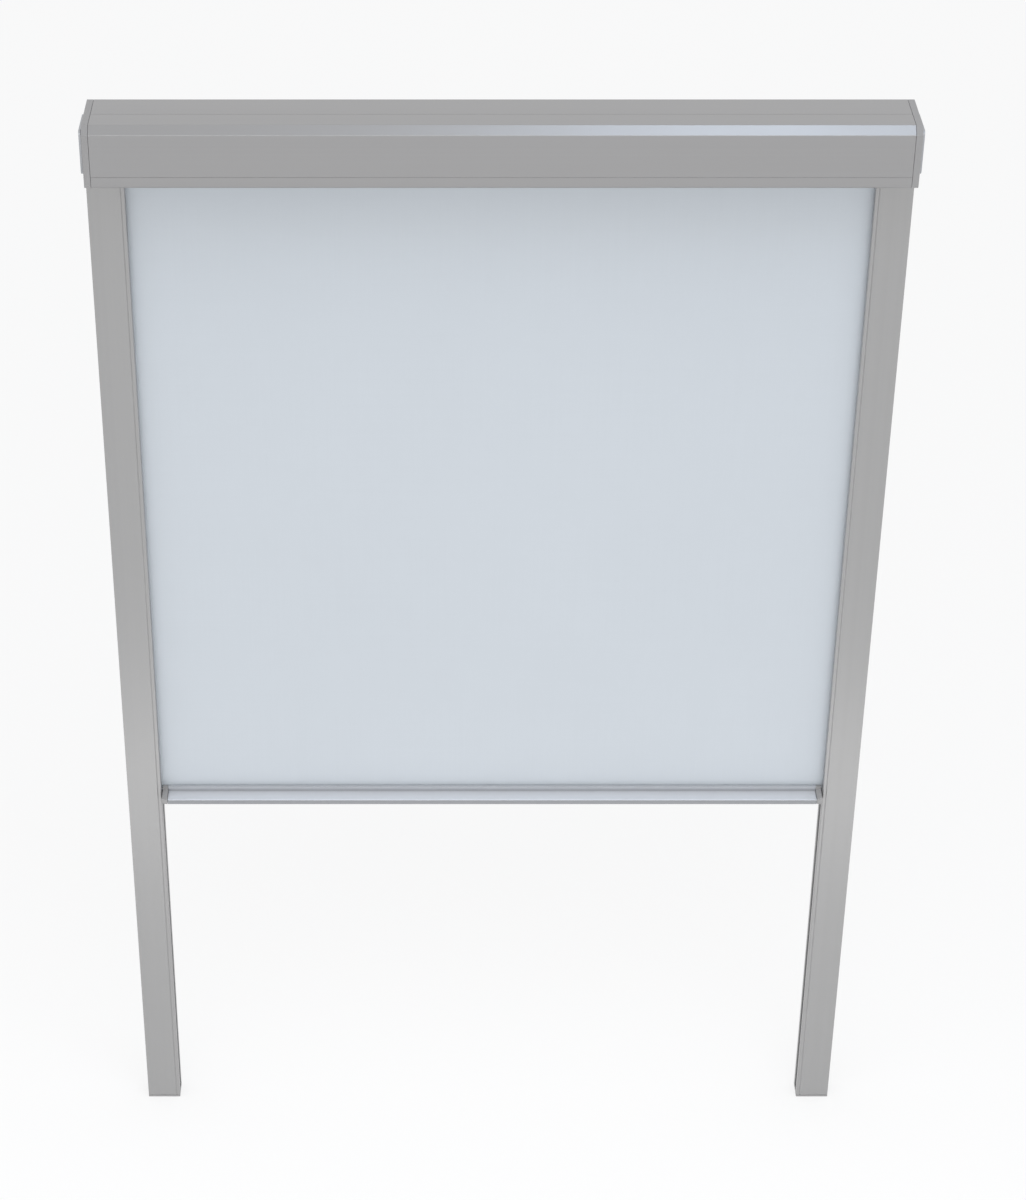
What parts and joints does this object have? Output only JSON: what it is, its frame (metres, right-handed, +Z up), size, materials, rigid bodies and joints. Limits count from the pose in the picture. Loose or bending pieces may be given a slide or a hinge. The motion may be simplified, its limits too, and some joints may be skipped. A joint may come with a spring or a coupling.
{
  "type": "skylight roller blind",
  "caption": "Roller blind for a skylight: cassette with spring roller, two side channels, pale blackout cloth and a bottom bar with a finger ledge that slides in the channels.",
  "frame": {"origin": "centre of the cassette's flat back, which lies in one plane with the backs of the channels", "axes": "+X to the right as seen from the room, +Y out of the back, +Z up along the channels; the room side faces -Y"},
  "size_m": [0.64, 0.054, 1.004],
  "materials": {
    "satin_aluminium": "satin grey lacquer over the extrusion",
    "mill_aluminium": "plain drawn tube",
    "grey_plastic": "fine moulded texture in the profiles' grey",
    "dark_plastic": "moulded",
    "nylon": "natural nylon",
    "zinc_steel": "zinc plated",
    "spring_steel": "oiled spring wire",
    "blind_fabric": "coated blackout cloth, pale grey",
    "grey_pile": "dense pile",
    "felt": "pressed felt"
  },
  "bodies": {
    "frame": {"cassette_back": "satin_aluminium", "cassette_cover": "satin_aluminium", "cassette_slot_brush": "grey_pile", "cassette_end_cap_left": "grey_plastic", "cassette_end_cap_right": "grey_plastic", "mounting_bracket_left": "zinc_steel", "mounting_bracket_right": "zinc_steel", "cap_screw_upper_left": "zinc_steel", "cap_screw_upper_right": "zinc_steel", "cap_screw_lower_left": "zinc_steel", "cap_screw_lower_right": "zinc_steel", "cap_screw_front_left": "zinc_steel", "cap_screw_front_right": "zinc_steel", "channel_base_left": "satin_aluminium", "channel_base_right": "satin_aluminium", "channel_cover_left": "satin_aluminium", "channel_cover_right": "satin_aluminium", "pile_seal_rear_left": "grey_pile", "pile_seal_rear_right": "grey_pile", "pile_seal_front_left": "grey_pile", "pile_seal_front_right": "grey_pile", "channel_top_plug_left": "grey_plastic", "channel_top_plug_right": "grey_plastic", "channel_foot_left": "grey_plastic", "channel_foot_right": "grey_plastic", "idle_pin": "zinc_steel", "fixed_shaft": "zinc_steel", "shaft_bush": "nylon", "spring_collar": "dark_plastic", "torsion_spring": "spring_steel", "fabric_panel": "blind_fabric"},
    "roller": {"roller_tube": "mill_aluminium", "tube_keder": "nylon", "fabric_roll": "blind_fabric", "idle_plug": "dark_plastic", "idle_bush": "nylon", "bearing_plug": "dark_plastic", "spring_driver": "dark_plastic"},
    "bar": {"bottom_bar": "satin_aluminium", "hem_rod": "nylon", "bar_seal": "grey_pile", "bar_end_cap_left": "grey_plastic", "bar_end_cap_right": "grey_plastic", "brake_pad_left": "felt", "brake_pad_right": "felt", "brake_spring_left": "spring_steel", "brake_spring_right": "spring_steel"}
  },
  "joints": [
    {"name": "bar_slide", "type": "slide", "parent": "frame", "child": "bar", "axis": [0, 0, 1], "range_m": [-0.329, 0.585], "deforming": ["fabric_panel"]},
    {"name": "roller_spin", "type": "hinge", "parent": "frame", "child": "roller", "pos_m": [0, -0.02589, 0], "axis": [1, 0, 0], "range_deg": [-1200, 2120]}
  ],
  "couplings": [
    {"joint": "roller_spin", "follows": "bar_slide", "rad_per_m": 63.133}
  ]
}
